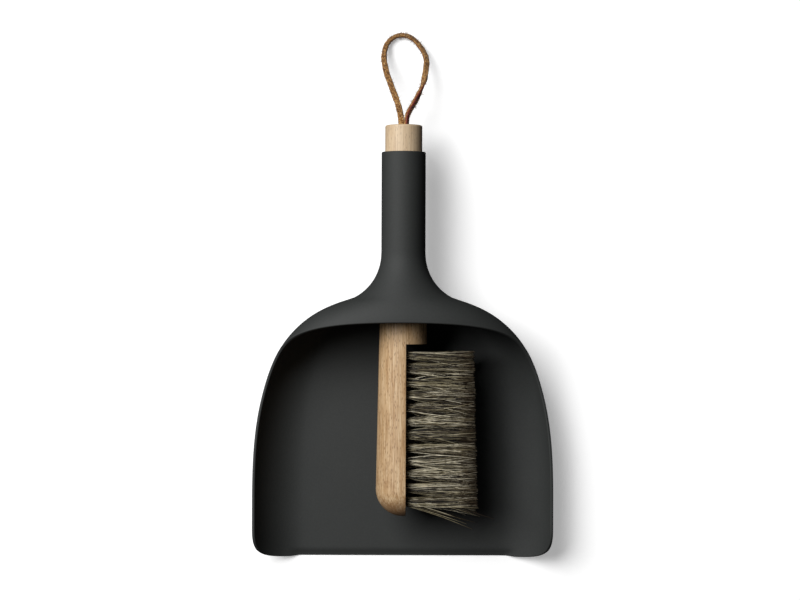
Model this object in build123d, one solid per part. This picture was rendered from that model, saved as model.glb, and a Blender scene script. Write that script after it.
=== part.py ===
"""Dust pan with a hollow handle, and the hand brush that is stored through it.

Millimetres. The set lies on the ground: +Z up, +Y along the handle towards the
hanging loop, and the lip of the pan at the -Y end. The origin is on the ground,
under the middle of the set without its loop.
"""
from build123d import *
import math
import os

# ---- the pan: one moulded shell, a tube that opens out into a scoop ----
TUBE_LENGTH = 80.5  # straight part of the handle
TUBE_END_ROUND = 0.8  # rounding of the handle's open end
AXIS_HEIGHT = 38.0  # handle and brush axis above the ground
NECK_RADIUS = 40.0  # sweep of the outline from the handle into the shoulders
NECK_SWEEP = 0.96  # share of that sweep that is used
NECK_STAND = 0.85  # the sweep starts this share of its radius behind the shoulders
SCOOP_HALF_WIDTH = 121.8  # widest half width of the scoop
SHOULDER_LENGTH = 169.5  # the shoulders' curve, from the neck to the straight sides
SHOULDER_POWER = 2.77  # fullness of the shoulders, 2 is an ellipse
OUTLINE_BLEND = 16  # how closely the sweep and the shoulders keep to their own curves
SIDE_LENGTH = 42.4  # straight sides, to the front corners
WALL = 2.4  # shell thickness
HOOD_HEIGHT = 75.0  # top of the hood above the ground
HOOD_DEPTH = 56.0  # run of the hood's rise from the neck to its full height
FLOOR_FALL = 1.1  # run of the floor's fall from the neck, of the hood's depth
WIDEST_HEIGHT = 41.0  # height at which the hood and the walls are widest
SIDE_HEIGHT = 32.0  # rim height of the side walls
FLOOR_SHARE = 0.655  # flat part of the floor, of the half width
HOOD_RUN = 54.4  # from the neck to the hood's front edge
HOOD_TOP_LEAN = 1.0  # the hood's cut leans this far forwards above the edge
HOOD_CUT_STEEP = 5.0  # forward reach of the steep part of the hood's cut
HOOD_CUT_TURN = 27.0  # forward reach of the cut's turn into the side rim
HOOD_CUT_RUN = 67.0  # whole forward reach of the cut
HOOD_CUT_SHARE = 0.3  # height of the steep part's end between side rim and hood
CORNER_RUN = 23.0  # length over which the side walls round down to the lip
CORNER_TOP = 0.48  # fullness of that rounding at the rim, of its length
CORNER_LOW = 0.55  # and at the lip, of the wall's height
LIP_RUN = 5.0  # bevel on the floor at the lip
LIP_EDGE = 0.7  # thickness left at the lip
LIP_BACK = 0.8  # the lip stands this far behind the front corners
LIP_CORNER = 38.8  # from the end of the bevelled lip to the side of the scoop
LIP_RAMP = 10.0  # from the lip's end to the full corner

# ---- the brush: a turned stock, cut flat along its head ----
GRIP_RADIUS = 14.8
GRIP_CLEARANCE = 0.4  # between the grip and the handle's bore
GRIP_OUT = 21.4  # the grip stands this far out of the handle
GRIP_ROUND = 1.6  # rounding of the grip's end
SWELL_RADIUS = 18.3  # head, at the end of the swell in the pan's neck
SWELL_RUN = 36.0  # length of the swell
SWELL_LEAD = 1.5  # the swell starts this far inside the handle
SWELL_EASE = 0.4  # softness of the swell's two ends, of its length
HEAD_RADIUS = 21.4  # head, at the far end
HEAD_LENGTH = 175.0  # end of the swell to the tip of the dome
FLAT_OFFSET = 2.4  # the flat stands this far from the stock's axis
FLAT_LENGTH = 137.0  # length of the flat, from its square step to the tip

TUFTS = 12  # tufts in an outer row; the middle row has one less
TUFT_FIRST = 9.1  # step face to the first tuft's centre
TUFT_LAST = 12.4  # last tuft's centre to the tip of the dome
ROWS = 3
ROW_EDGE = 7.8  # wood outside the outer rows' holes
TUFT_RADIUS = 3.0  # at the root
TUFT_CLEARANCE = 0.05
HOLE_DEPTH = 9.0
TRIM_START = 56.0  # trimmed tips from the stock's axis, at the step
TRIM_END = 58.8  # the same, at the last tuft
TIP_GAP = 0.5  # left between neighbouring tufts at the tips
TIP_LEAN_START = -0.4  # how far the tips lean along the row, first tuft
TIP_LEAN_END = -1.2  # the same, last tuft
ANCHOR_WIDTH = 7.4
ANCHOR_THICK = 0.4
ANCHOR_DEPTH = 2.6
ANCHOR_BITE = 1.6  # into the wood under the hole

# ---- the leather loop: one strap, both ends glued into the grip's end ----
STRAP_RADIUS = 1.8
STRAP_GAP = 0.2  # between the two ends, side by side
SOCKET_CLEARANCE = 0.1
SOCKET_DEPTH = 13.0
STRAP_END_GAP = 0.5
# the strap's route from the grip's end face: across, outwards, and down from the
# axis. It leaves level, droops under its weight and lies on the ground at its far end
STRAP_ROUTE = [
    (-2.6, 9.4, -1.3),
    (-5.0, 18.4, -5.4),
    (-9.9, 31.8, -13.6),
    (-14.6, 45.8, -22.0),
    (-16.7, 58.6, -29.4),
    (-13.9, 70.3, -34.6),
    (-5.7, 76.2, -36.0),
    (3.9, 75.9, -36.0),
    (11.2, 69.8, -34.6),
    (18.6, 57.8, -29.2),
    (17.9, 45.7, -22.0),
    (15.0, 31.8, -13.6),
    (8.4, 18.4, -5.4),
    (3.0, 9.4, -1.3),
]
STRAP_OUT = 2.4  # the straight ends run this far out of the grip
STRAP_BEND = 0.45  # share of each leg of the route that a bend may take

# ---- places worked out from the sizes ----
BORE_RADIUS = GRIP_RADIUS + GRIP_CLEARANCE
TUBE_RADIUS = BORE_RADIUS + WALL
PAN_LENGTH = SIDE_LENGTH + SHOULDER_LENGTH + NECK_STAND * NECK_RADIUS + TUBE_LENGTH
FRONT = -(PAN_LENGTH + GRIP_OUT) / 2
TUBE_END = FRONT + PAN_LENGTH
NECK = TUBE_END - TUBE_LENGTH
HOOD_EDGE = NECK - HOOD_RUN
GRIP_END = TUBE_END + GRIP_OUT
LIP_HALF_WIDTH = SCOOP_HALF_WIDTH - LIP_CORNER
SWELL_START = NECK + SWELL_LEAD
SWELL_END = SWELL_START - SWELL_RUN
HEAD_TIP = SWELL_END - HEAD_LENGTH
STEP = HEAD_TIP + FLAT_LENGTH
TUFT_PITCH = (FLAT_LENGTH - TUFT_FIRST - TUFT_LAST) / (TUFTS - 1)
ROW_PITCH = (HEAD_RADIUS - TUFT_RADIUS - ROW_EDGE) / ((ROWS - 1) / 2)
TUFT_SPACING = min(TUFT_PITCH, math.hypot(TUFT_PITCH / 2, ROW_PITCH))
AXIS = Axis((0, 0, AXIS_HEIGHT), (0, 1, 0))

STATIONS = 38  # cross sections along the shell
OUTLINE_STEPS = 600  # steps used to measure along the outline
FINE_STEP = 1e-9  # rounding left in that measure
HALF_POINTS = 15  # steps round half a cross section
FLAT_POINTS = 3  # of them along the flat floor
LOWER_POINTS = 6  # of them up the side
FLOOR_SINK = 0.15  # the sections run this far under a floor, which is then cut level
LOFT_MARGIN = 6.0  # the sections run this far past the front corners
CUT_MARGIN = 10.0  # cutters run this far past what they cut


def smooth(t):
    """0 to 1 with level ends."""
    t = min(max(t, 0), 1)
    return t * t * (3 - 2 * t)


def half_width(y, skin):
    """Half width of the flared shell at y; skin is 0 outside and the wall inside."""
    back = min(max(NECK - y, 0), NECK_SWEEP * NECK_RADIUS)
    radius = NECK_RADIUS + skin
    neck = (BORE_RADIUS if skin else TUBE_RADIUS) + radius - math.sqrt(radius**2 - back**2)
    along = max(y - (FRONT + SIDE_LENGTH), 0) / (SHOULDER_LENGTH - skin)
    dome = max(1 - along**SHOULDER_POWER, 0) ** (1 / SHOULDER_POWER)
    shoulder = (SCOOP_HALF_WIDTH - skin) * dome
    return (neck**OUTLINE_BLEND + shoulder**OUTLINE_BLEND) ** (1 / OUTLINE_BLEND)


def section(y, skin):
    """The closed cross section at y: a circle at the neck, a flat-floored bowl under
    a dome in the scoop."""
    tube = BORE_RADIUS if skin else TUBE_RADIUS
    behind = NECK - y
    rise = smooth(behind / HOOD_DEPTH)
    fall = smooth(behind / (FLOOR_FALL * HOOD_DEPTH))
    mid = AXIS_HEIGHT + (WIDEST_HEIGHT - AXIS_HEIGHT) * rise
    top = (AXIS_HEIGHT + tube) * (1 - rise) + (HOOD_HEIGHT - skin) * rise
    low = (AXIS_HEIGHT - tube) * (1 - fall) + (skin - FLOOR_SINK) * fall
    half = half_width(y, skin)
    flat = FLOOR_SHARE * half
    points = []
    for i in range(HALF_POINTS + 1):
        turn = math.pi * (i / HALF_POINTS - 0.5)
        lower = turn < 0
        round_x = half * math.cos(turn)
        round_z = mid + math.sin(turn) * (mid - low if lower else top - mid)
        if i <= FLAT_POINTS:
            pan_x = flat * i / FLAT_POINTS
            pan_z = low
        elif i <= FLAT_POINTS + LOWER_POINTS:
            turn = math.pi / 2 * (i - FLAT_POINTS) / LOWER_POINTS
            pan_x = flat + (half - flat) * math.sin(turn)
            pan_z = mid - (mid - low) * math.cos(turn)
        else:
            upper = HALF_POINTS - FLAT_POINTS - LOWER_POINTS
            turn = math.pi / 2 * (i - FLAT_POINTS - LOWER_POINTS) / upper
            pan_x = half * math.cos(turn)
            pan_z = mid + (top - mid) * math.sin(turn)
        points.append((round_x + (pan_x - round_x) * rise, round_z + (pan_z - round_z) * rise))
    widest = max(x for x, z in points)
    right = [(x * half / widest, z) for x, z in points]
    left = [(-x, z) for x, z in reversed(right[1:-1])]
    loop = [Vector(x, y, z) for x, z in right + left]
    steps = len(loop)
    even = [i / steps for i in range(steps + 1)]
    return Wire([Edge.make_spline(loop, periodic=True, parameters=even)])


def stations(start, skin):
    """Places of the cross sections, evenly spaced along the outline."""
    fine = OUTLINE_STEPS
    end = FRONT - LOFT_MARGIN
    ys = [start + (end - start) * i / fine for i in range(fine + 1)]
    reach = [0]
    for a, b in zip(ys, ys[1:]):
        reach.append(reach[-1] + math.hypot(b - a, half_width(b, skin) - half_width(a, skin)))
    places = []
    for k in range(STATIONS):
        goal = reach[-1] * k / (STATIONS - 1)
        places.append(next(y for y, r in zip(ys, reach) if r >= goal - FINE_STEP))
    return places


def flared(skin, floor):
    """Handle and scoop as one solid, cut level at its floor."""
    start = TUBE_END + (1 if skin else 0)
    body = Solid.make_loft([section(y, skin) for y in stations(start, skin)])
    size = 4 * SCOOP_HALF_WIDTH + PAN_LENGTH
    return body & Pos(0, 0, floor + size / 2) * Box(size, size, size)


def side_cutter():
    """Everything above the rim, seen from the side: the steep cut of the hood, the
    level side walls, and the front corners that round down to the lip."""
    high = HOOD_HEIGHT + CUT_MARGIN
    corner = FRONT + CORNER_RUN
    hood_curve = Bezier(
        (HOOD_EDGE + HOOD_TOP_LEAN, high),
        (HOOD_EDGE - HOOD_CUT_STEEP, SIDE_HEIGHT + HOOD_CUT_SHARE * (HOOD_HEIGHT - SIDE_HEIGHT)),
        (HOOD_EDGE - HOOD_CUT_TURN, SIDE_HEIGHT),
        (HOOD_EDGE - HOOD_CUT_RUN, SIDE_HEIGHT),
    )
    rim = Line((HOOD_EDGE - HOOD_CUT_RUN, SIDE_HEIGHT), (corner, SIDE_HEIGHT))
    round_down = Bezier(
        (corner, SIDE_HEIGHT),
        (FRONT + CORNER_TOP * CORNER_RUN, SIDE_HEIGHT),
        (FRONT, CORNER_LOW * SIDE_HEIGHT),
        (FRONT, WALL / 2),
    )
    front = Polyline(
        (FRONT, WALL / 2),
        (FRONT, -CUT_MARGIN),
        (FRONT - CUT_MARGIN, -CUT_MARGIN),
        (FRONT - CUT_MARGIN, high),
        (HOOD_EDGE + HOOD_TOP_LEAN, high),
    )
    outline = make_face(Curve() + [hood_curve, rim, round_down, front])
    return extrude(Plane.YZ * outline, 2 * SCOOP_HALF_WIDTH, both=True)


def lip_cutter():
    """The bevel that thins the floor towards the lip. The lip is set back a little, and
    a short ramp at each end leads to the front corner."""
    slope = Polyline(
        (FRONT + LIP_BACK + LIP_RUN, WALL),
        (FRONT + LIP_BACK, LIP_EDGE),
        (FRONT + LIP_BACK, -CUT_MARGIN),
        (FRONT - CUT_MARGIN, -CUT_MARGIN),
        (FRONT - CUT_MARGIN, CUT_MARGIN),
        (FRONT + LIP_BACK + LIP_RUN, CUT_MARGIN),
        close=True,
    )
    bevel = extrude(Plane.YZ * make_face(slope), SCOOP_HALF_WIDTH, both=True)
    ramp = LIP_HALF_WIDTH + LIP_RAMP
    right = [
        (LIP_HALF_WIDTH - LIP_BACK, FRONT + LIP_BACK + LIP_RUN),
        (LIP_HALF_WIDTH, FRONT + LIP_BACK),
        (ramp, FRONT),
        (ramp, FRONT - CUT_MARGIN),
    ]
    left = [(-x, y) for x, y in reversed(right)]
    return bevel & extrude(make_face(Polyline(*right, *left, close=True)), HOOD_HEIGHT, both=True)


def make_pan():
    shell = flared(0, 0) - flared(WALL, WALL) - side_cutter() - lip_cutter()
    ends = [e for e in shell.edges() if e.bounding_box().min.Y > TUBE_END - 0.01]
    return fillet(ends, TUBE_END_ROUND)


def tuft_places():
    """(row, number, y, height over the axis) of each tuft."""
    places = []
    for row in range(ROWS):
        inner = row % 2
        for k in range(TUFTS - inner):
            y = STEP - TUFT_FIRST - TUFT_PITCH * (k + inner / 2)
            places.append((row, k, y, ROW_PITCH * ((ROWS - 1) / 2 - row)))
    return places


def across(radius, start, end, y, z):
    """A round bar along X."""
    return Pos((start + end) / 2, y, z) * Rot(0, 90, 0) * Cylinder(radius, end - start)


def anchor(y, z, grow=0):
    """The flat metal anchor that holds one tuft's fold at the bottom of its hole."""
    bottom = FLAT_OFFSET - HOLE_DEPTH - ANCHOR_BITE
    size = (ANCHOR_DEPTH + 2 * grow, ANCHOR_WIDTH + 2 * grow, ANCHOR_THICK + 2 * grow)
    return Pos(bottom + ANCHOR_DEPTH / 2, y, AXIS_HEIGHT + z) * Box(*size)


def make_stock():
    """Turned stock: a plain grip, a swell that seats in the neck, a head with a dome."""
    dome = HEAD_TIP + HEAD_RADIUS
    ease = SWELL_EASE * SWELL_RUN
    taper = (HEAD_RADIUS - SWELL_RADIUS) / (SWELL_END - dome)
    side = Line((GRIP_RADIUS, GRIP_END), (GRIP_RADIUS, SWELL_START))
    swell = Bezier(
        (GRIP_RADIUS, SWELL_START),
        (GRIP_RADIUS, SWELL_START - ease),
        (SWELL_RADIUS - ease * taper, SWELL_END + ease),
        (SWELL_RADIUS, SWELL_END),
    )
    head = Line((SWELL_RADIUS, SWELL_END), (HEAD_RADIUS, dome))
    tip = RadiusArc((HEAD_RADIUS, dome), (0, HEAD_TIP), HEAD_RADIUS)
    back = Polyline((0, HEAD_TIP), (0, GRIP_END), (GRIP_RADIUS, GRIP_END))
    profile = make_face(Curve() + [side, swell, head, tip, back])
    stock = Pos(0, 0, AXIS_HEIGHT) * revolve(profile, Axis.Y)
    end = stock.edges().filter_by(GeomType.CIRCLE).sort_by(Axis.Y)[-1]
    stock = fillet(end, GRIP_ROUND)
    room = 2 * HEAD_RADIUS
    run = FLAT_LENGTH + CUT_MARGIN
    cut = Pos(FLAT_OFFSET + room / 2, STEP - run / 2, AXIS_HEIGHT) * Box(room, run, 2 * room)
    stock = stock - cut
    drills = []
    for row, number, y, z in tuft_places():
        bottom, mouth = FLAT_OFFSET - HOLE_DEPTH, FLAT_OFFSET + CUT_MARGIN
        drills.append(across(TUFT_RADIUS + TUFT_CLEARANCE, bottom, mouth, y, AXIS_HEIGHT + z))
        drills.append(anchor(y, z, TUFT_CLEARANCE))
    slot = SlotCenterToCenter(2 * STRAP_RADIUS + STRAP_GAP, 2 * (STRAP_RADIUS + SOCKET_CLEARANCE))
    mouth = Plane((0, GRIP_END, AXIS_HEIGHT), x_dir=(1, 0, 0), z_dir=(0, -1, 0))
    return stock - drills - extrude(mouth * slot, SOCKET_DEPTH)


def tuft(y, z):
    """One tuft: its folded root in the hole, and hair that spreads to the trimmed tips."""
    share = (STEP - TUFT_FIRST - y) / (TUFT_PITCH * (TUFTS - 1))
    trim = TRIM_START + (TRIM_END - TRIM_START) * share
    lean = TIP_LEAN_START + (TIP_LEAN_END - TIP_LEAN_START) * share
    tip_radius = (TUFT_SPACING - TIP_GAP) / 2
    bottom = FLAT_OFFSET - HOLE_DEPTH + TUFT_CLEARANCE
    root = across(TUFT_RADIUS, bottom, FLAT_OFFSET, y, AXIS_HEIGHT + z)
    start = Plane((FLAT_OFFSET, y, AXIS_HEIGHT + z), x_dir=(0, 1, 0), z_dir=(1, 0, 0))
    end = Plane((trim, y + lean, AXIS_HEIGHT + z), x_dir=(0, 1, 0), z_dir=(1, 0, 0))
    hair = loft([start * Circle(TUFT_RADIUS), end * Circle(tip_radius)])
    return root + hair - anchor(y, z, TUFT_CLEARANCE)


def make_strap():
    """The strap as a round bar: out of the grip, round the loop and back in."""
    side = STRAP_RADIUS + STRAP_GAP / 2
    deep = GRIP_END - SOCKET_DEPTH + STRAP_END_GAP
    mouth = GRIP_END + STRAP_OUT
    middle = [(x, GRIP_END + out, AXIS_HEIGHT + down) for x, out, down in STRAP_ROUTE]
    start = [(-side, deep, AXIS_HEIGHT), (-side, mouth, AXIS_HEIGHT)]
    finish = [(side, mouth, AXIS_HEIGHT), (side, deep, AXIS_HEIGHT)]
    points = [Vector(*p) for p in start + middle + finish]
    radii = []
    for a, b, c in zip(points, points[1:], points[2:]):
        turn = math.radians((b - a).get_angle(c - b))
        radii.append(STRAP_BEND * min((b - a).length, (c - b).length) / math.tan(turn / 2))
    path = FilletPolyline(*points, radius=radii)
    strap = sweep(Plane(points[0], z_dir=(0, 1, 0)) * Circle(STRAP_RADIUS), path=path)
    print("strap length", round(path.length, 1))
    return strap


def main():
    os.makedirs("parts", exist_ok=True)
    parts = {
        "pan_shell": make_pan(),
        "brush_stock": make_stock(),
        "hanging_loop": make_strap(),
    }
    anchors = []
    for row, number, y, z in tuft_places():
        name = f"tuft_{'abcdef'[row]}{number + 1:02d}"
        parts[name] = tuft(y, z)
        anchors.append(anchor(y, z))
    parts["tuft_anchors"] = Compound(children=[a.solid() for a in anchors])
    for name, shape in parts.items():
        export_step(shape, f"parts/{name}.step")


main()
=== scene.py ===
"""A dust pan of dark moulded plastic with its beech hand brush stored through the
hollow handle, and the brush's leather hanging loop."""
import math
import random
from functools import cache

import bmesh
import bpy
from mathutils import Matrix, Vector, noise
from mathutils.geometry import interpolate_bezier


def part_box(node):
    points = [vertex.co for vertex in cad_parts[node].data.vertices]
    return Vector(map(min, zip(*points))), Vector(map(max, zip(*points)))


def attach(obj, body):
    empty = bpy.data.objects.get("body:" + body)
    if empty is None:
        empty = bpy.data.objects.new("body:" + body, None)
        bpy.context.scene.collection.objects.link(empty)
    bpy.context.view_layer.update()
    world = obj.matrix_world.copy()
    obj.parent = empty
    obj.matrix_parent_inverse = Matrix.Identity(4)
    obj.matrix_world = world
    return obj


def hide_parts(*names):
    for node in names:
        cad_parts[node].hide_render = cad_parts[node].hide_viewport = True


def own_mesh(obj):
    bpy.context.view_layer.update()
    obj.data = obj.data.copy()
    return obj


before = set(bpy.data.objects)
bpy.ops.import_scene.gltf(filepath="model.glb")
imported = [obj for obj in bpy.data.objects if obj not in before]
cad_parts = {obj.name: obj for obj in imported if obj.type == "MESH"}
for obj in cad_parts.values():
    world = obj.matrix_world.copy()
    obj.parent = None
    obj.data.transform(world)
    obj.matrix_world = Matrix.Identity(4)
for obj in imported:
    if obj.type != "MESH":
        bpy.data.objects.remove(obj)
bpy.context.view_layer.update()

MM = 0.001
scene = bpy.context.scene
scene.view_settings.view_transform = "Standard"

# ---- places, from the frame ----
pan_low, pan_high = (Vector(c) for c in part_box("pan_shell"))
stock_low, stock_high = (Vector(c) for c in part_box("brush_stock"))
FRONT = pan_low.y  # the front corners of the pan
TUBE_END = pan_high.y  # the handle's open end
HOOD = pan_high.z  # top of the hood
GRIP_END = stock_high.y  # end face of the brush's grip
HEAD_TIP = stock_low.y  # tip of the brush's domed head
AXIS = stock_low.z + (stock_high.z - stock_low.z) / 2  # height of handle and brush


def hex_colour(text):
    """An sRGB hex colour as the linear colour that shaders work in."""
    parts = [int(text[i : i + 2], 16) / 255 for i in (1, 3, 5)]
    return [p / 12.92 if p <= 0.04045 else ((p + 0.055) / 1.055) ** 2.4 for p in parts] + [1]


def smooth(t):
    """0 to 1 with level ends."""
    t = min(max(t, 0), 1)
    return t * t * (3 - 2 * t)


def finished(name, mesh, body, slot, material, *nodes):
    """An object for a finished mesh, riding on its body."""
    piece = bpy.data.objects.new(name, mesh)
    scene.collection.objects.link(piece)
    mesh.materials.append(material)
    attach(piece, body)
    if nodes:
        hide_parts(*nodes)
    return piece


TUBE_SIDES = 4  # of the thin tubes that hairs and fibres are


def write_out(shape, mesh):
    """Writes a bmesh into a mesh, its faces shaded smooth."""
    for face in shape.faces:
        face.smooth = True
    shape.to_mesh(mesh)
    shape.free()
    return mesh


def sharp_edges(shape):
    """The edges of a closed shape that turn by more than 40 degrees."""
    return [e for e in shape.edges if len(e.link_faces) == 2 and e.calc_face_angle() > math.radians(40)]


def built_mesh(name, data):
    """The mesh that a curve, or a mesh with its modifiers, comes to. Given a curve it
    makes the object for it; the object is taken away afterwards."""
    holder = data
    if isinstance(data, bpy.types.Curve):
        holder = bpy.data.objects.new(name, data)
        scene.collection.objects.link(holder)
    bpy.context.view_layer.update()
    mesh = bpy.data.meshes.new_from_object(holder.evaluated_get(bpy.context.evaluated_depsgraph_get()))
    bpy.data.objects.remove(holder)
    if isinstance(data, bpy.types.Curve):
        bpy.data.curves.remove(data)
    mesh.name = name
    return mesh


def new_curve(name, resolution, thickness=0):
    """An empty curve; with a thickness, its lines are thin square tubes."""
    curve = bpy.data.curves.new(name, "CURVE")
    curve.dimensions = "3D"
    curve.resolution_u = resolution
    curve.bevel_depth = thickness
    curve.bevel_resolution = 0
    return curve


def add_line(curve, spots, radii):
    """Adds a smooth line that starts and ends at the first and last spots."""
    line = curve.splines.new("NURBS")
    line.points.add(len(spots) - 1)
    for point, spot, radius in zip(line.points, spots, radii):
        point.co = (*spot, 1)
        point.radius = radius
    line.order_u = 3
    line.use_endpoint_u = True


def closed_tubes(name, curve):
    """A curve's square tubes as a mesh, with their ends closed."""
    mesh = built_mesh(name, curve)
    mesh.materials.clear()
    shape = bmesh.new()
    shape.from_mesh(mesh)
    bmesh.ops.holes_fill(shape, edges=[e for e in shape.edges if e.is_boundary], sides=TUBE_SIDES)
    bmesh.ops.recalc_face_normals(shape, faces=shape.faces[:])
    return write_out(shape, mesh)


# ---- materials ----
def wire(node, **links):
    """Links a node's inputs, by name, or by i and a number where a name is used twice.
    A source is one socket, or a node for its first output."""
    for key, source in links.items():
        numbered = key[0] == "i" and key[1:].isdigit()
        socket = node.inputs[int(key[1:]) if numbered else key.replace("_", " ")]
        output = source if isinstance(source, bpy.types.NodeSocket) else source.outputs[0]
        node.id_data.links.new(output, socket)
    return node


def add(nodes, kind, settings=None, **links):
    """Adds a node. Settings are its properties, its sockets' values, and a colour ramp's
    stops as (place, hex colour)."""
    node = nodes.new("ShaderNode" + kind)
    for key, value in (settings or {}).items():
        if key == "stops":
            line = node.color_ramp.elements
            while len(line) < len(value):
                line.new(0.5)
            for element, (place, colour) in zip(line, value):
                element.position = place
                element.color = hex_colour(colour)
        elif isinstance(key, str) and hasattr(node, key) and key not in node.inputs:
            setattr(node, key, value)
        else:
            node.inputs[key].default_value = value
    return wire(node, **links)


def new_material(name):
    """A material with a Principled shader; returns it, its nodes and the shader."""
    material = bpy.data.materials.new(name)
    material.use_nodes = True
    nodes = material.node_tree.nodes
    return material, nodes, nodes["Principled BSDF"]


def moulded_plastic():
    """Injection-moulded polypropylene, spark-eroded mould: a dead matt, very fine grain
    that spreads the light into soft gradients, with a faint cloudiness in its colour."""
    material, nodes, shader = new_material("moulded_polypropylene")
    place = add(nodes, "TexCoord").outputs["Object"]
    # the mould grain is about 0.15 mm; it is drawn at 0.5 mm so that it shows
    grain = add(nodes, "TexNoise", {"Scale": 1 / (0.5 * MM), "Detail": 3.0, "Roughness": 0.6}, Vector=place)
    cloud = add(nodes, "TexNoise", {"Scale": 1 / (45 * MM), "Detail": 4.0}, Vector=place)
    speck = add(nodes, "TexNoise", {"Scale": 1 / (1.4 * MM), "Detail": 2.0}, Vector=place)
    tint = add(nodes, "ValToRGB", {"stops": [(0.3, "#292b2a"), (0.7, "#2f3130")]}, Fac=cloud)
    dust = add(nodes, "ValToRGB", {"stops": [(0.35, "#282a29"), (0.75, "#333534")]}, Fac=speck)
    colour = add(nodes, "Mix", {"data_type": "RGBA", "Factor": 0.35}, i6=tint, i7=dust)
    rough = add(nodes, "MapRange", {"To Min": 0.66, "To Max": 0.76}, Value=cloud)
    bump = add(nodes, "Bump", {"Strength": 0.12, "Distance": 0.05 * MM}, Height=grain)
    wire(shader, Base_Color=colour.outputs[2], Roughness=rough, Normal=bump)
    shader.inputs["IOR"].default_value = 1.49
    return material


def oiled_beech():
    """Beech, turned, sanded and oiled: pale pinkish tan, long soft bands along the
    grain, short dark flecks, and a darker, browner end grain on the dome."""
    material, nodes, shader = new_material("oiled_beech")
    coord = add(nodes, "TexCoord")
    place = coord.outputs["Object"]
    # growth bands 2.5 mm wide and about 80 mm long; pore lines are 0.1 mm wide in beech
    # and are drawn 1 mm wide and 24 mm long so that they show
    band_size = {"vector_type": "TEXTURE", "Scale": (2.5 * MM, 80 * MM, 2.5 * MM)}
    pore_size = {"vector_type": "TEXTURE", "Scale": (1.0 * MM, 24 * MM, 1.0 * MM)}
    long = add(nodes, "Mapping", band_size, Vector=place)
    fine = add(nodes, "Mapping", pore_size, Vector=place)
    bands = add(nodes, "TexNoise", {"Scale": 1.0, "Detail": 3.0, "Roughness": 0.6}, Vector=long)
    pores = add(nodes, "TexNoise", {"Scale": 1.0, "Detail": 4.0, "Roughness": 0.7}, Vector=fine)
    band_stops = [(0.3, "#8d6439"), (0.43, "#b48d60"), (0.56, "#d0b087"), (0.7, "#9f764a")]
    pore_stops = [(0.36, "#86603a"), (0.49, "#bf9e75"), (0.64, "#e2cca9")]
    wood = add(nodes, "ValToRGB", {"stops": band_stops}, Fac=bands)
    pore = add(nodes, "ValToRGB", {"stops": pore_stops}, Fac=pores)
    body = add(nodes, "Mix", {"data_type": "RGBA", "Factor": 0.5}, i6=wood, i7=pore)
    # the ray flecks are 0.3 mm wide and 2 mm long; they are drawn up to 0.8 mm wide and
    # 3 mm long so that they show
    cell = (1.25 * MM, 4.6 * MM, 1.25 * MM)
    room = add(nodes, "Mapping", {"vector_type": "TEXTURE", "Scale": cell}, Vector=place)
    cells = add(nodes, "TexVoronoi", {"Scale": 1.0, "Randomness": 1.0}, Vector=room)
    fade = {"From Min": 0.14, "From Max": 0.34, "To Min": 1.0, "To Max": 0.0}
    fleck = add(nodes, "MapRange", fade, Value=cells)
    strength = add(nodes, "Math", {"operation": "MULTIPLY", 1: 0.7}, i0=fleck)
    fleck_mix = {"data_type": "RGBA", "B": hex_colour("#7d5a3a")}
    flecked = add(nodes, "Mix", fleck_mix, Factor=strength, i6=body.outputs[2])
    # brown blotches about 9 mm across come towards the domed head
    along = add(nodes, "SeparateXYZ", Vector=place).outputs["Y"]
    blots = add(nodes, "TexNoise", {"Scale": 1 / (9 * MM), "Detail": 4.0, "Roughness": 0.7}, Vector=place)
    blot = add(nodes, "MapRange", {"From Min": 0.5, "From Max": 0.68, "To Max": 0.55}, Value=blots)
    head = {"From Min": HEAD_TIP + 90 * MM, "From Max": HEAD_TIP + 25 * MM}
    near = add(nodes, "MapRange", head, Value=along)
    much = add(nodes, "Math", {"operation": "MULTIPLY"}, i0=blot, i1=near)
    blot_mix = {"data_type": "RGBA", "B": hex_colour("#8a6440")}
    blotched = add(nodes, "Mix", blot_mix, Factor=much, i6=flecked.outputs[2])
    # the wood is drawn paler towards the grip's end, over its last 60 mm
    grip = {"From Min": GRIP_END - 60 * MM, "From Max": GRIP_END - 20 * MM, "To Max": 0.38}
    paler_end = add(nodes, "MapRange", grip, Value=along)
    fade_mix = {"data_type": "RGBA", "B": hex_colour("#e0d0b6")}
    paled = add(nodes, "Mix", fade_mix, Factor=paler_end, i6=blotched.outputs[2])
    facing = add(nodes, "SeparateXYZ", Vector=coord.outputs["Normal"])
    turned = add(nodes, "Math", {"operation": "MULTIPLY", 1: -1.0}, i0=facing.outputs["Y"])
    dome = {"interpolation_type": "SMOOTHSTEP", "From Min": 0.25, "From Max": 0.95, "To Max": 0.7}
    end = add(nodes, "MapRange", dome, Value=turned)
    end_mix = {"data_type": "RGBA", "B": hex_colour("#7d5533")}
    colour = add(nodes, "Mix", end_mix, Factor=end, i6=paled.outputs[2])
    rough = add(nodes, "MapRange", {"To Min": 0.46, "To Max": 0.62}, Value=pores)
    bump = add(nodes, "Bump", {"Strength": 0.35, "Distance": 0.12 * MM}, Height=pores)
    wire(shader, Base_Color=colour.outputs[2], Roughness=rough, Normal=bump)
    shader.inputs["IOR"].default_value = 1.5
    return material


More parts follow.
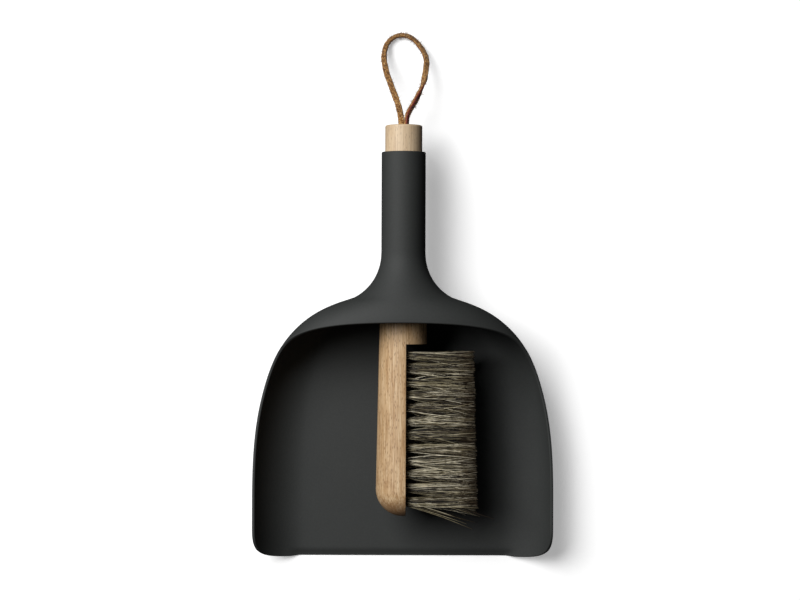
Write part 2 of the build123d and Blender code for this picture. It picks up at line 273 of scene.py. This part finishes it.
def horse_hair():
    """Mixed natural horse hair: each hair has its own tone, cream, grey-beige, brown or
    near black, slightly browner at the cut tips."""
    material, nodes, shader = new_material("mixed_horse_hair")
    tone = add(nodes, "Attribute", {"attribute_name": "tone"}).outputs["Fac"]
    along = add(nodes, "Attribute", {"attribute_name": "along"}).outputs["Fac"]
    place = add(nodes, "TexCoord").outputs["Object"]
    tones = [(0.24, "#15110c"), (0.42, "#3a3022"), (0.54, "#74694f"), (0.66, "#b3a886"), (0.85, "#f3ead0")]
    hair = add(nodes, "ValToRGB", {"stops": tones}, Fac=tone)
    # darker and lighter lengths about 6 mm long
    lengths = add(nodes, "TexNoise", {"Scale": 1 / (6 * MM), "Detail": 3.0}, Vector=place)
    shade = add(nodes, "ValToRGB", {"stops": [(0.3, "#9a9488"), (0.6, "#ffffff")]}, Fac=lengths)
    shading = {"data_type": "RGBA", "blend_type": "MULTIPLY", "Factor": 0.8}
    body = add(nodes, "Mix", shading, i6=hair, i7=shade)
    tips = add(nodes, "MapRange", {"From Min": 0.78, "From Max": 1.0, "To Max": 0.45}, Value=along)
    tip_mix = {"data_type": "RGBA", "B": hex_colour("#5c4836")}
    colour = add(nodes, "Mix", tip_mix, Factor=tips, i6=body.outputs[2])
    wire(shader, Base_Color=colour.outputs[2])
    shader.inputs["Roughness"].default_value = 0.5
    shader.inputs["IOR"].default_value = 1.55
    return material


def suede_leather():
    """Vegetable-tanned leather lace: fuzzy tan suede on the flesh side, a smooth dark
    red-brown grain face, and brown cut edges between them."""
    material, nodes, shader = new_material("vegetable_tanned_leather")
    where = add(nodes, "Attribute", {"attribute_name": "strap"}).outputs["Vector"]
    depth = add(nodes, "SeparateXYZ", Vector=where).outputs["Z"]
    # mottling about 1.1 mm, nap 0.45 mm
    patchy = {"Scale": 1 / (1.1 * MM), "Detail": 4.0, "Roughness": 0.75}
    mottle = add(nodes, "TexNoise", patchy, Vector=where)
    nap = add(nodes, "TexNoise", {"Scale": 1 / (0.45 * MM), "Detail": 3.0}, Vector=where)
    tans = [(0.38, "#38200d"), (0.47, "#74491f"), (0.55, "#a5783f"), (0.63, "#d8b47c")]
    suede = add(nodes, "ValToRGB", {"stops": tans}, Fac=mottle)
    grain = add(nodes, "ValToRGB", {"stops": [(0.3, "#56160c"), (0.7, "#8a2b17")]}, Fac=mottle)
    # from the grain face to the flesh side, across the strap's thickness
    side = add(nodes, "MapRange", {"From Min": -0.7 * MM, "From Max": 0.0 * MM}, Value=depth)
    colour = add(nodes, "Mix", {"data_type": "RGBA"}, Factor=side, i6=grain, i7=suede)
    rough = add(nodes, "MapRange", {"To Min": 0.55, "To Max": 0.95}, Value=side)
    bump = add(nodes, "Bump", {"Strength": 0.8, "Distance": 0.25 * MM}, Height=nap)
    wire(shader, Base_Color=colour.outputs[2], Roughness=rough, Normal=bump)
    shader.inputs["Sheen Weight"].default_value = 0.25
    shader.inputs["Sheen Roughness"].default_value = 0.5
    shader.inputs["IOR"].default_value = 1.45
    return material


def drawn_steel():
    """Flat tinned steel wire, cut to length: fine drawing lines along it."""
    material, nodes, shader = new_material("tinned_steel_wire")
    place = add(nodes, "TexCoord").outputs["Object"]
    line_size = {"vector_type": "TEXTURE", "Scale": (0.3 * MM, 8 * MM, 0.3 * MM)}
    long = add(nodes, "Mapping", line_size, Vector=place)
    lines = add(nodes, "TexNoise", {"Scale": 1.0, "Detail": 2.0}, Vector=long)
    tint = add(nodes, "ValToRGB", {"stops": [(0.3, "#a7a8a6"), (0.7, "#c9cac8")]}, Fac=lines)
    wire(shader, Base_Color=tint)
    shader.inputs["Metallic"].default_value = 1.0
    shader.inputs["Roughness"].default_value = 0.35
    return material


def painted_floor():
    """A plain matt white studio floor, very slightly uneven."""
    material, nodes, shader = new_material("matt_white_floor")
    place = add(nodes, "TexCoord").outputs["Object"]
    cloud = add(nodes, "TexNoise", {"Scale": 1 / (400 * MM), "Detail": 2.0}, Vector=place)
    tint = add(nodes, "ValToRGB", {"stops": [(0.3, "#f6f6f6"), (0.7, "#f9f9f9")]}, Fac=cloud)
    wire(shader, Base_Color=tint)
    shader.inputs["Roughness"].default_value = 0.9
    shader.inputs["Specular IOR Level"].default_value = 0.0
    # a little light comes through from below, as on a lit sweep, so shadows stay light
    shader.inputs["Emission Color"].default_value = (1, 1, 1, 1)
    shader.inputs["Emission Strength"].default_value = 0.36
    return material


# ---- camera: straight down ----
view = bpy.data.cameras.new("view")
view.lens = 99.45
view.sensor_width = 36.0
camera = bpy.data.objects.new("view", view)
camera.location = (-2.6 * MM, FRONT + 208.5 * MM, 1800 * MM)
camera.rotation_euler = (0, 0, math.radians(0.18))
scene.collection.objects.link(camera)
scene.camera = camera

# ---- the leather hanging loop ----
STRAP_WIDE = 4.8 * MM
STRAP_THICK = 2.9 * MM
BEND_THINNING = 0.14  # share by which the top of the loop is thinner
# the strap's route from the grip's end face: across, outwards, and down from the axis
STRAP_ROUTE = [
    (-1.9, -12.5, 0.0),
    (-1.9, 2.4, 0.0),
    (-2.6, 9.4, -1.3),
    (-5.0, 18.4, -5.4),
    (-9.9, 31.8, -13.6),
    (-14.6, 45.8, -22.0),
    (-16.7, 58.6, -29.4),
    (-13.9, 70.3, -34.6),
    (-5.7, 76.2, -36.0),
    (3.9, 75.9, -36.0),
    (11.2, 69.8, -34.6),
    (18.6, 57.8, -29.2),
    (17.9, 45.7, -22.0),
    (15.0, 31.8, -13.6),
    (8.4, 18.4, -5.4),
    (3.0, 9.4, -1.3),
    (1.9, 2.4, 0.0),
    (1.9, -12.5, 0.0),
]


NAP_FIBRES = 760
FIBRE_RADIUS = 0.13 * MM
FIBRE_TAPER = (1.2, 0.9, 0.4)
NAP_MARGIN = 14  # points of the route at each end, in and near the grip, without fibres
CORNER_ROUND = 0.9 * MM


def strap_turn(share):
    """How far the strap is twisted from suede up, along its length: outwards over the
    top of the loop, then over onto its edge down the right leg."""
    return math.radians(-24 * smooth((share - 0.28) / 0.12) + 134 * smooth((share - 0.66) / 0.16))


def route_points():
    """Points along the smooth line that the strap's route draws."""
    spots = [(x * MM, GRIP_END + out * MM, AXIS + down * MM) for x, out, down in STRAP_ROUTE]
    curve = new_curve("strap_route", 12)
    add_line(curve, spots, [1] * len(spots))
    return [v.co.copy() for v in built_mesh("strap_route", curve).vertices]


def leather_nap(path, material):
    """Short loose fibres that stand out along the strap."""
    chance = random.Random(7)
    curve = new_curve("hanging_loop_nap", 2, FIBRE_RADIUS)
    places = []
    for _ in range(NAP_FIBRES):
        k = chance.randrange(NAP_MARGIN, len(path) - NAP_MARGIN)
        along = (path[k + 1] - path[k]).normalized()
        out = Vector((chance.gauss(0, 1), chance.gauss(0, 1), abs(chance.gauss(0.4, 0.8))))
        out = (out - along * out.dot(along)).normalized()
        base = path[k] + out * chance.uniform(1.0, 1.9) * MM
        reach = chance.uniform(0.7, 2.2) * MM
        curl = Vector((chance.gauss(0, 0.35), chance.gauss(0, 0.35), chance.gauss(0, 0.35))) * MM
        spots = (base, base + out * reach * 0.7 + curl, base + out * reach + 2.2 * curl)
        add_line(curve, spots, FIBRE_TAPER)
        places.append((0, k * MM, STRAP_THICK / 2))
    mesh = closed_tubes("hanging_loop_nap", curve)
    each = len(mesh.vertices) // NAP_FIBRES
    strap = mesh.attributes.new("strap", "FLOAT_VECTOR", "POINT")
    strap.data.foreach_set("vector", [c for place in places for _ in range(each) for c in place])
    return finished("hanging_loop_nap", mesh, "brush", "strap_leather", material)


def leather_loop(material):
    """A flat lace with rounded corners, drawn along its route and twisted on the way."""
    path = route_points()
    shape = bmesh.new()
    bmesh.ops.create_grid(shape, x_segments=1, y_segments=1, size=0.5)
    bmesh.ops.scale(shape, vec=(STRAP_WIDE, STRAP_THICK, 1), verts=shape.verts)
    bmesh.ops.bevel(
        shape, geom=shape.verts[:], offset=CORNER_ROUND, offset_type="OFFSET", segments=4, profile=0.5,
        affect="VERTICES", material=-1,
    )
    layer = shape.verts.layers.float_vector.new("strap")
    reach = [0.0]
    for a, b in zip(path, path[1:]):
        reach.append(reach[-1] + (b - a).length)
    edges = shape.edges[:]
    new = shape.verts[:]
    placed = Matrix.Identity(4)
    up = Vector((0, 0, 1))
    for k, point in enumerate(path):
        along = (path[min(k + 1, len(path) - 1)] - path[max(k - 1, 0)]).normalized()
        up = (up - along * up.dot(along)).normalized()
        share = reach[k] / reach[-1]
        high = Matrix.Rotation(strap_turn(share), 3, along) @ up
        across = high.cross(along)
        # the bend has drawn the strap a little thinner
        drawn = 1 - BEND_THINNING * smooth((share - 0.3) / 0.12) * smooth((0.7 - share) / 0.12)
        here = Matrix((across * drawn, high * drawn, along)).transposed().to_4x4()
        here.translation = point
        if k:
            grown = bmesh.ops.extrude_edge_only(shape, edges=edges)["geom"]
            edges = [g for g in grown if isinstance(g, bmesh.types.BMEdge)]
            new = [g for g in grown if isinstance(g, bmesh.types.BMVert)]
        bmesh.ops.transform(shape, matrix=here @ placed.inverted(), verts=new)
        placed = here
        back = here.inverted()
        for vert in new:
            local = back @ vert.co
            vert[layer] = (local.x, reach[k], local.y)
    bmesh.ops.contextual_create(shape, geom=edges)
    bmesh.ops.recalc_face_normals(shape, faces=shape.faces[:])
    # the nap and the knife-cut edges are a little uneven
    for vert in shape.verts:
        where = vert[layer]
        push = noise.noise(where / (1.1 * MM)) * 0.3 + noise.noise(where / (5 * MM)) * 0.25
        vert.co += vert.normal * push * MM
    mesh = write_out(shape, bpy.data.meshes.new("hanging_loop_leather"))
    piece = finished("hanging_loop_leather", mesh, "brush", "strap_leather", material, "hanging_loop")
    nap = leather_nap(path, material)
    for soft in (piece, nap):
        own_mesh(soft)


leather_loop(suede_leather())

# ---- the turned beech stock ----
GRIP_RADIUS = 14.8 * MM
GRIP_ROUND = 1.6 * MM
SWELL_RADIUS = 18.3 * MM
HEAD_RADIUS = 21.4 * MM
HEAD_LENGTH = 175 * MM
SWELL_RUN = 36 * MM
FLAT_OFFSET = 2.4 * MM
FLAT_LENGTH = 137.0 * MM
SWELL_END = HEAD_TIP + HEAD_LENGTH
SWELL_START = SWELL_END + SWELL_RUN
SWELL_EASE = 0.4 * SWELL_RUN
DOME = HEAD_TIP + HEAD_RADIUS
STEP = HEAD_TIP + FLAT_LENGTH
TURNED_STEPS = 96
TAPER_STEPS = 11
EDGE_BREAK = 0.45 * MM
NEAR = 0.01 * MM  # closer than this, two places are one


def quarter(x, y, radius, turn, steps):
    """Points of a quarter circle round (x, y), clockwise from turn, without the first."""
    angles = [turn - math.pi / 2 * k / steps for k in range(1, steps + 1)]
    return [Vector((x + radius * math.cos(a), y + radius * math.sin(a), 0)) for a in angles]


def beech_stock(material):
    """The profile turned round the axis, then cut flat along the head."""
    shape = bmesh.new()
    swell = interpolate_bezier(
        Vector((GRIP_RADIUS, SWELL_START, 0)), Vector((GRIP_RADIUS, SWELL_START - SWELL_EASE, 0)),
        Vector((SWELL_RADIUS, SWELL_END + SWELL_EASE, 0)), Vector((SWELL_RADIUS, SWELL_END, 0)), 14,
    )
    line = [Vector((0, GRIP_END, 0)), Vector((GRIP_RADIUS - GRIP_ROUND, GRIP_END, 0))]
    line += quarter(GRIP_RADIUS - GRIP_ROUND, GRIP_END - GRIP_ROUND, GRIP_ROUND, math.pi / 2, 6)
    line += swell
    for k in range(1, TAPER_STEPS + 1):
        t = k / TAPER_STEPS
        radius = SWELL_RADIUS + (HEAD_RADIUS - SWELL_RADIUS) * t
        line.append(Vector((radius, SWELL_END + (DOME - SWELL_END) * t, 0)))
    line += quarter(0, DOME, HEAD_RADIUS, 0, 14)
    verts = [shape.verts.new(v) for v in line]
    edges = [shape.edges.new(pair) for pair in zip(verts, verts[1:])]
    bmesh.ops.spin(
        shape, geom=verts + edges, cent=(0, 0, 0), axis=(0, 1, 0), angle=2 * math.pi, steps=TURNED_STEPS,
        use_merge=True,
    )
    bmesh.ops.remove_doubles(shape, verts=shape.verts, dist=0.002 * MM)
    bmesh.ops.recalc_face_normals(shape, faces=shape.faces[:])
    bmesh.ops.translate(shape, vec=(0, 0, AXIS), verts=shape.verts)
    # the flat: everything past it, from the square step to the tip, comes off
    everything = shape.verts[:] + shape.edges[:] + shape.faces[:]
    bmesh.ops.bisect_plane(
        shape, geom=everything, dist=0.001 * MM, plane_co=(0, STEP, 0), plane_no=(0, 1, 0),
    )
    head = [f for f in shape.faces if f.calc_center_median().y < STEP]
    rim = list({edge for face in head for edge in face.edges})
    rim += list({vert for face in head for vert in face.verts})
    bmesh.ops.bisect_plane(
        shape, geom=head + rim, dist=0.001 * MM, plane_co=(FLAT_OFFSET, 0, 0), plane_no=(1, 0, 0),
    )
    middles = {face: face.calc_center_median() for face in shape.faces}
    gone = [face for face, middle in middles.items() if middle.y < STEP and middle.x > FLAT_OFFSET]
    bmesh.ops.delete(shape, geom=gone, context="FACES")
    corner = [
        v for v in shape.verts
        if v.is_boundary and abs(v.co.y - STEP) < NEAR and abs(v.co.x - FLAT_OFFSET) < NEAR
    ]
    shape.edges.new(corner[:2])
    border = [e for e in shape.edges if e.is_boundary or not e.link_faces]
    flat = [e for e in border if all(abs(v.co.x - FLAT_OFFSET) < NEAR for v in e.verts)]
    bmesh.ops.contextual_create(shape, geom=flat)
    step = [e for e in shape.edges if e.is_boundary or not e.link_faces]
    bmesh.ops.contextual_create(shape, geom=step)
    bmesh.ops.recalc_face_normals(shape, faces=shape.faces[:])
    bmesh.ops.bevel(
        shape, geom=sharp_edges(shape), offset=EDGE_BREAK, offset_type="OFFSET", segments=2, profile=0.5,
        affect="EDGES", material=-1, clamp_overlap=False,
    )
    mesh = write_out(shape, bpy.data.meshes.new("brush_stock_beech"))
    mesh.set_sharp_from_angle(angle=math.radians(38))
    finished("brush_stock_beech", mesh, "brush", "stock_wood", material, "brush_stock")


beech_stock(oiled_beech())

# ---- the moulded pan ----
WALL = 2.4 * MM
TUBE_RADIUS = 17.6 * MM
NECK = TUBE_END - 80.5 * MM
NECK_RADIUS = 40 * MM
SIDE_LENGTH = 42.4 * MM
SHOULDER_LENGTH = 169.5 * MM
SHOULDER_POWER = 2.77
NECK_SWEEP = 0.96  # share of the neck's hollow curve that is used
OUTLINE_BLEND = 16
SCOOP_HALF_WIDTH = 121.8 * MM
WIDEST_HEIGHT = 41 * MM
SIDE_HEIGHT = 32 * MM
HOOD_DEPTH = 56 * MM
FLOOR_FALL = 1.1  # the floor comes down over this share of the hood's depth
HOOD_EDGE = NECK - 54.4 * MM
FLOOR_SHARE = 0.655
FLAT_STEPS, SIDE_STEPS, DOME_STEPS = 3, 6, 6  # steps round half a cross section
ALL_STEPS = FLAT_STEPS + SIDE_STEPS + DOME_STEPS
LIP_HALF_WIDTH = 83 * MM
LIP_RAMP = 10 * MM
LIP_BACK = 0.8 * MM
LIP_SLOPE = 6.2 * MM
LIP_SHARE = 0.3  # thickness left at the lip, of the wall's
RIM_ROUND = 0.8 * MM
ABOVE_HOOD = HOOD + 10 * MM
# the rim seen from the side, as Bezier curves: the hood's cut and the front corners
HOOD_CUT = [
    (HOOD_EDGE + 1 * MM, ABOVE_HOOD),
    (HOOD_EDGE - 5 * MM, SIDE_HEIGHT + 12.9 * MM),
    (HOOD_EDGE - 27 * MM, SIDE_HEIGHT),
    (HOOD_EDGE - 67 * MM, SIDE_HEIGHT),
]
CORNER_CUT = [
    (FRONT + 23 * MM, SIDE_HEIGHT),
    (FRONT + 11 * MM, SIDE_HEIGHT),
    (FRONT, 0.55 * SIDE_HEIGHT),
    (FRONT, WALL / 2),
]


def bezier(points, t):
    """A place on a Bezier curve."""
    shares = ((1 - t) ** 3, 3 * (1 - t) ** 2 * t, 3 * (1 - t) * t**2, t**3)
    return [sum(share * point[axis] for share, point in zip(shares, points)) for axis in (0, 1)]


def first_true(low, high, test):
    """The place between low and high from which on the test holds."""
    for _ in range(34):
        middle = (low + high) / 2
        if test(middle):
            high = middle
        else:
            low = middle
    return (low + high) / 2


def half_width(y):
    """Half width of the flared shell at y."""
    back = min(max(NECK - y, 0), NECK_SWEEP * NECK_RADIUS)
    neck = TUBE_RADIUS + NECK_RADIUS - math.sqrt(NECK_RADIUS**2 - back**2)
    along = max(y - (FRONT + SIDE_LENGTH), 0) / SHOULDER_LENGTH
    dome = max(1 - along**SHOULDER_POWER, 0) ** (1 / SHOULDER_POWER)
    return (neck**OUTLINE_BLEND + (SCOOP_HALF_WIDTH * dome) ** OUTLINE_BLEND) ** (1 / OUTLINE_BLEND)


def shell_point(y, step):
    """(across, height) on the shell's outside at y, step round its half section: from
    the bottom's middle, 0, to the top's, 15. A circle at the neck turns into a
    flat-floored bowl under a dome."""
    behind = NECK - y
    rise = smooth(behind / HOOD_DEPTH)
    fall = smooth(behind / (FLOOR_FALL * HOOD_DEPTH))
    mid = AXIS + (WIDEST_HEIGHT - AXIS) * rise
    top = (AXIS + TUBE_RADIUS) * (1 - rise) + HOOD * rise
    low = (AXIS - TUBE_RADIUS) * (1 - fall)
    half = half_width(y)

    def place(i):
        turn = math.pi * (i / ALL_STEPS - 0.5)
        round_x = half * math.cos(turn)
        round_z = mid + math.sin(turn) * (mid - low if turn < 0 else top - mid)
        flat = FLOOR_SHARE * half
        if i <= FLAT_STEPS:
            pan_x, pan_z = flat * i / FLAT_STEPS, low
        elif i <= FLAT_STEPS + SIDE_STEPS:
            turn = math.pi / 2 * (i - FLAT_STEPS) / SIDE_STEPS
            pan_x, pan_z = flat + (half - flat) * math.sin(turn), mid - (mid - low) * math.cos(turn)
        else:
            turn = math.pi / 2 * (i - FLAT_STEPS - SIDE_STEPS) / DOME_STEPS
            pan_x, pan_z = half * math.cos(turn), mid + (top - mid) * math.sin(turn)
        return round_x + (pan_x - round_x) * rise, round_z + (pan_z - round_z) * rise

    across, height = place(step)
    if 0 < rise < 1:
        across *= half / max(place(i)[0] for i in range(ALL_STEPS + 1))
    return across, height


def rim_height(y):
    """Height of the shell's rim at y."""
    for cut in (HOOD_CUT, CORNER_CUT):
        if cut[3][0] <= y <= cut[0][0]:
            t = first_true(0, 1, lambda t: bezier(cut, t)[0] < y)
            return bezier(cut, t)[1]
    return SIDE_HEIGHT if y < HOOD_EDGE else ABOVE_HOOD


def wall_share(place):
    """Share of the wall's full thickness at a place: the floor thins towards the lip."""
    reach = smooth((place.y - FRONT - LIP_BACK) / LIP_SLOPE)
    aside = smooth((abs(place.x) - LIP_HALF_WIDTH) / LIP_RAMP)
    return LIP_SHARE + (1 - LIP_SHARE) * max(reach, aside)


def patch(shape, columns, rows, place):
    """Adds one sheet of the shell to the bmesh: place(column, row) gives a point of its
    right half, and the left half is the same mirrored."""
    wide, long = len(columns) - 1, len(rows) - 1
    grid = bmesh.ops.create_grid(shape, x_segments=2 * wide, y_segments=long, size=1)
    for vert in grid["verts"]:
        side = round(vert.co.x * wide)
        row = round((vert.co.y + 1) / 2 * long)
        x, y, z = place(columns[abs(side)], rows[row])
        vert.co = (math.copysign(x, side) if side else 0, y, z)


def spaced(start, end, count):
    """count steps from start to end, without the end."""
    return [start + (end - start) * k / count for k in range(count)]


def pan_shell(material):
    """The shell's outside in two sheets, hood and scoop, then thickened inwards."""
    # the two places where the rim stops running across the shell and runs along it
    turn_y, turn_z = bezier(HOOD_CUT, 0.45)
    turn = first_true(0, ALL_STEPS, lambda i: shell_point(turn_y, i)[1] > turn_z)
    nose_y, nose_z = bezier(CORNER_CUT, 0.5)
    nose = first_true(0, ALL_STEPS, lambda i: shell_point(nose_y, i)[1] > nose_z)

    @cache
    def hood_end(step):
        if step <= turn:
            return turn_y
        low, high = turn_y - 1 * MM, HOOD_EDGE + 1 * MM
        return first_true(low, high, lambda y: shell_point(y, step)[1] < rim_height(y))

    @cache
    def front_end(step):
        y = FRONT
        if shell_point(FRONT, step)[1] > WALL / 2:
            y = first_true(FRONT, nose_y + 1 * MM, lambda y: shell_point(y, step)[1] < rim_height(y))
        across = shell_point(y, step)[0]
        return y + LIP_BACK * (1 - smooth((across - LIP_HALF_WIDTH) / LIP_RAMP))

    @cache
    def outer_step(row):
        rim_y = turn_y + (nose_y - turn_y) * row
        return first_true(0, ALL_STEPS, lambda i: shell_point(rim_y, i)[1] > rim_height(rim_y))

    def back_place(step, row):
        y = TUBE_END + (hood_end(step) - TUBE_END) * row
        across, height = shell_point(y, step)
        return across, y, height

    def scoop_place(share, row):
        y = turn_y + (front_end(share * nose) - turn_y) * row
        across, height = shell_point(y, share * outer_step(row))
        return across, y, height

    shape = bmesh.new()
    floor_steps = spaced(0, FLAT_STEPS, 7) + spaced(FLAT_STEPS, turn, 22)
    hood_steps = floor_steps + spaced(turn, ALL_STEPS, 26) + [ALL_STEPS]
    back_rows = [0, 0.006, 0.02] + spaced(0.04, 0.44, 14) + spaced(0.44, 1, 40) + [0.993, 1]
    patch(shape, hood_steps, back_rows, back_place)
    scoop_rows = spaced(0, 0.95, 40) + [0.95, 0.96, 0.97, 0.98, 0.99, 1]
    patch(shape, [step / turn for step in floor_steps] + [1], scoop_rows, scoop_place)
    bmesh.ops.remove_doubles(shape, verts=shape.verts, dist=0.02 * MM)
    bmesh.ops.recalc_face_normals(shape, faces=shape.faces[:])
    floor = Vector((0, FRONT + 60 * MM, 0))
    middle = min(shape.faces, key=lambda f: (f.calc_center_median() - floor).length)
    if middle.normal.z > 0:
        bmesh.ops.reverse_faces(shape, faces=shape.faces[:])
    sheet = write_out(shape, bpy.data.meshes.new("pan_sheet"))
    holder = bpy.data.objects.new("pan_sheet", sheet)
    scene.collection.objects.link(holder)
    group = holder.vertex_groups.new(name="thickness")
    for vert in sheet.vertices:
        group.add([vert.index], wall_share(vert.co), "REPLACE")
    wall = holder.modifiers.new("wall", "SOLIDIFY")
    wall.thickness = WALL
    wall.offset = -1
    wall.use_even_offset = True
    wall.use_quality_normals = True
    wall.vertex_group = group.name
    walled = built_mesh("pan_shell_moulded", holder)
    # the rims are rounded, least at the thin lip
    shape = bmesh.new()
    shape.from_mesh(walled)
    layer = shape.edges.layers.float.new("bevel_weight_edge")
    for edge in sharp_edges(shape):
        edge[layer] = wall_share((edge.verts[0].co + edge.verts[1].co) / 2)
    write_out(shape, walled)
    piece = finished("pan_shell_moulded", walled, "pan", "pan_plastic", material, "pan_shell")
    round_off = piece.modifiers.new("rounded_rims", "BEVEL")
    round_off.limit_method = "WEIGHT"
    round_off.width = RIM_ROUND
    round_off.segments = 3
    round_off.profile = 0.5
    round_off.use_clamp_overlap = False
    round_off.harden_normals = True


pan_shell(moulded_plastic())

# ---- the hair ----
ROOT_RADIUS = 3.5 * MM
SPREAD_ALONG = 7.4 * MM  # the hair of one tuft runs in among the next tuft's
SPREAD_ACROSS = 5.6 * MM
TIP_DISC = 5.186 * MM  # radius of the tuft's tip
TIP_UNEVEN = 0.8 * MM
TRIM_START = 56.0 * MM
TRIM_END = 58.8 * MM
TRIM_PAST = 0.9  # mm, the furthest that a hair stands past the trimmed face
LEAN_START = -0.4 * MM
LEAN_END = -1.2 * MM
HAIRS = 105
WILD = 0.4  # share of the hairs that cross their neighbours
SHORT = 0.06  # share of the hairs that end well before the trimmed face
CLUMPS = 15
FIRST_EDGE = 3.6 * MM  # furthest that the first tuft's hair spreads towards the step
# a hair is 0.15 to 0.2 mm thick; it is drawn thicker, so that single hairs show
HAIR_RADIUS = 0.27 * MM
# where the longest loose hairs of the last tufts end: out from the axis, and past the root
STRAYS = [(55.1, -21.5), (57.4, -16.5), (72.6, -13.6), (61.0, -11.5), (50.5, -17.5), (46.0, -14.0)]


def disc(chance, radius):
    """A random place in a disc."""
    turn = chance.uniform(0, 2 * math.pi)
    out = radius * math.sqrt(chance.random())
    return out * math.cos(turn), out * math.sin(turn)


def hair_tuft(name, node, material, seed, strays=()):
    """Loose hairs from the tuft's hole to its trimmed face, drawn together in clumps."""
    low, high = (Vector(c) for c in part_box(node))
    height = (low.z + high.z) / 2
    first = node.endswith("01")
    share = (high.x - TRIM_START) / (TRIM_END - TRIM_START)
    lean = LEAN_START + (LEAN_END - LEAN_START) * share
    tip_y = low.y + TIP_DISC
    root_y = tip_y - lean
    chance = random.Random(seed)
    curve = new_curve(name, 2, HAIR_RADIUS)
    clumps = []
    for _ in range(CLUMPS):
        dy, dz = disc(chance, 1)
        clumps.append((dy * SPREAD_ALONG, dz * SPREAD_ACROSS, chance.random()))
    tones = []
    ends = [None] * HAIRS + list(strays)
    for stray in ends:
        ry, rz = disc(chance, ROOT_RADIUS)
        cy, cz, clump_tone = chance.choice(clumps)
        pull = chance.uniform(0.3, 0.95)
        fan_y, fan_z = disc(chance, 1)
        end_y = cy * pull + fan_y * SPREAD_ALONG * (1 - pull) + chance.gauss(0, TIP_UNEVEN)
        end_z = cz * pull + fan_z * SPREAD_ACROSS * (1 - pull) + chance.gauss(0, TIP_UNEVEN)
        if chance.random() < WILD:
            end_y += chance.gauss(0, 4.6) * MM
            end_z += chance.gauss(0, 1.5) * MM
        end_x = high.x + min(chance.gauss(-0.5, 0.8), TRIM_PAST) * MM
        if chance.random() < SHORT:
            end_x -= chance.uniform(3, 16) * MM
        if stray:
            end_x = stray[0] * MM
            end_y = stray[1] * MM - lean
            ry = -abs(ry)
        bow_y = chance.gauss(0, 1.6) * MM
        bow_z = chance.gauss(0, 1.1) * MM
        if first:
            end_y = min(end_y, FIRST_EDGE)
            bow_y = -abs(bow_y)
        start = Vector((FLAT_OFFSET - 0.6 * MM, root_y + ry, height + rz))
        finish = Vector((end_x, tip_y + end_y, height + end_z))
        thick = chance.uniform(0.45, 1.25)
        parts = (0, 0.25, 0.65, 1)
        spots = [start.lerp(finish, p) + Vector((0, bow_y, bow_z)) * math.sin(math.pi * p) for p in parts]
        add_line(curve, spots, [thick * (1 - 0.4 * p) for p in parts])
        tones.append(min(max(0.3 * clump_tone + 0.7 * chance.random() + chance.gauss(0, 0.12), 0), 1))
    mesh = closed_tubes(name, curve)
    each = len(mesh.vertices) // len(ends)
    rings = each // TUBE_SIDES
    tone = mesh.attributes.new("tone", "FLOAT", "POINT")
    tone.data.foreach_set("value", [t for t in tones for _ in range(each)])
    along = mesh.attributes.new("along", "FLOAT", "POINT")
    steps = [i % each // TUBE_SIDES / (rings - 1) for i in range(len(mesh.vertices))]
    along.data.foreach_set("value", steps)
    finished(name, mesh, "brush", "brush_hair", material, node)


hair = horse_hair()
tufts = sorted(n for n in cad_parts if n.startswith("tuft_") and n != "tuft_anchors")
loose = {"tuft_a12": STRAYS, "tuft_b11": STRAYS[3:], "tuft_c12": STRAYS[3:]}
for order, node in enumerate(tufts):
    hair_tuft("hair_" + node[5:], node, hair, 100 + order, loose.get(node, ()))

# ---- carried-over pieces ----
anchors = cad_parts["tuft_anchors"]
anchors.data.materials.clear()
anchors.data.materials.append(drawn_steel())

# ---- floor and light ----
shape = bmesh.new()
bmesh.ops.create_grid(shape, x_segments=4, y_segments=4, size=4.0)
floor = bpy.data.objects.new("floor", write_out(shape, bpy.data.meshes.new("floor")))
floor.data.materials.append(painted_floor())
scene.collection.objects.link(floor)
# the floor is hidden from diffuse and glossy rays, so it throws no light back up at the set
floor.visible_diffuse = False
floor.visible_glossy = False


def soft_light(name, place, aim, size, power):
    """A large square soft box at a place, turned to face a point."""
    lamp = bpy.data.lights.new(name, "AREA")
    lamp.shape = "RECTANGLE"
    lamp.size, lamp.size_y = size
    lamp.energy = power
    lamp.color = (1.0, 1.0, 1.0)
    holder = bpy.data.objects.new(name, lamp)
    holder.location = place
    holder.rotation_euler = (Vector(aim) - Vector(place)).to_track_quat("-Z", "Y").to_euler()
    scene.collection.objects.link(holder)


soft_light("key", (-1.38, 1.12, 2.0), (0, 0, 0), (2.1, 1.8), 96)

world = bpy.data.worlds.new("surround")
world.use_nodes = True
world.node_tree.nodes["Background"].inputs["Color"].default_value = (1, 1, 1, 1)
world.node_tree.nodes["Background"].inputs["Strength"].default_value = 0.03
scene.world = world
